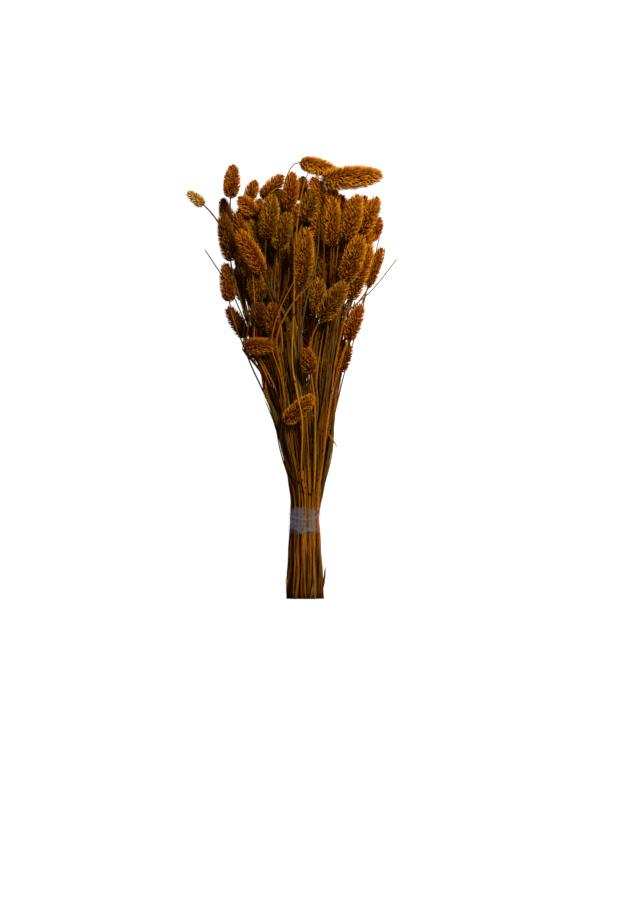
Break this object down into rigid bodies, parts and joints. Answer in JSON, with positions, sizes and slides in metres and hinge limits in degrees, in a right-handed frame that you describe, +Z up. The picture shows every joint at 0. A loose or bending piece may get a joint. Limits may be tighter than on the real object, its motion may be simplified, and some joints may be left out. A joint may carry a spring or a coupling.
{
  "type": "bunch of dried canary grass",
  "caption": "Bunch of dried, dyed grass stalks with dense oval seed heads, gathered at the waist by clear tape and cut flat at the foot, laid on its side.",
  "frame": {"origin": "centre of the bounding box, at the level of the surface the bunch lies on", "axes": "+Y from the cut ends to the seed heads, +Z up out of the surface, +X to the right of the bunch seen from above"},
  "size_m": [0.2106, 0.4426, 0.0779],
  "materials": {
    "grass_amber": "dry papery grass, dyed amber, matt",
    "grass_brown": "dry papery grass, dyed dark red brown, matt",
    "grass_buff": "dry papery grass, pale straw buff, matt",
    "grass_olive": "dry papery grass, dyed olive gold, matt",
    "grass_orange": "dry papery grass, dyed burnt orange, matt",
    "leaf_olive": "dry leaf blade, dull olive brown",
    "leaf_orange": "dry leaf blade, orange brown",
    "tape_clear": "clear sticky tape, glossy, slightly creased, two laps"
  },
  "bodies": {
    "root": {"stalk_01": "grass_buff", "stalk_02": "grass_orange", "stalk_03": "grass_amber", "stalk_04": "grass_amber", "stalk_05": "grass_orange", "stalk_06": "grass_amber", "stalk_07": "grass_amber", "stalk_08": "grass_orange", "stalk_09": "grass_brown", "stalk_10": "grass_olive", "stalk_11": "grass_orange", "stalk_12": "grass_amber", "stalk_13": "grass_amber", "stalk_14": "grass_amber", "stalk_15": "grass_orange", "stalk_16": "grass_amber", "stalk_17": "grass_amber", "stalk_18": "grass_amber", "stalk_19": "grass_orange", "stalk_20": "grass_olive", "stalk_21": "grass_olive", "stalk_22": "grass_amber", "stalk_23": "grass_brown", "stalk_24": "grass_olive", "stalk_25": "grass_olive", "stalk_26": "grass_amber", "stalk_27": "grass_orange", "stalk_28": "grass_olive", "stalk_29": "grass_orange", "stalk_30": "grass_brown", "stalk_31": "grass_brown", "stalk_32": "grass_brown", "stalk_33": "grass_orange", "stalk_34": "grass_olive", "stalk_35": "grass_brown", "stalk_36": "grass_brown", "stalk_37": "grass_orange", "stalk_38": "grass_orange", "stalk_39": "grass_olive", "stalk_40": "grass_orange", "stalk_41": "grass_orange", "stalk_42": "grass_brown", "stalk_43": "grass_brown", "stalk_44": "grass_brown", "stalk_45": "grass_brown", "stalk_46": "grass_brown", "stalk_47": "grass_brown", "stalk_48": "grass_brown", "stalk_49": "grass_amber", "stalk_50": "grass_brown", "stalk_51": "grass_brown", "straw_upper_left": "grass_brown", "straw_right_hooked": "grass_amber", "straw_right_long": "grass_amber", "leaf_left_edge": "leaf_olive", "leaf_right_edge": "leaf_olive", "leaf_long_front": "leaf_olive", "leaf_inner_left": "leaf_olive", "leaf_kinked_front": "leaf_orange", "tape_band": "tape_clear"}
  },
  "joints": []
}
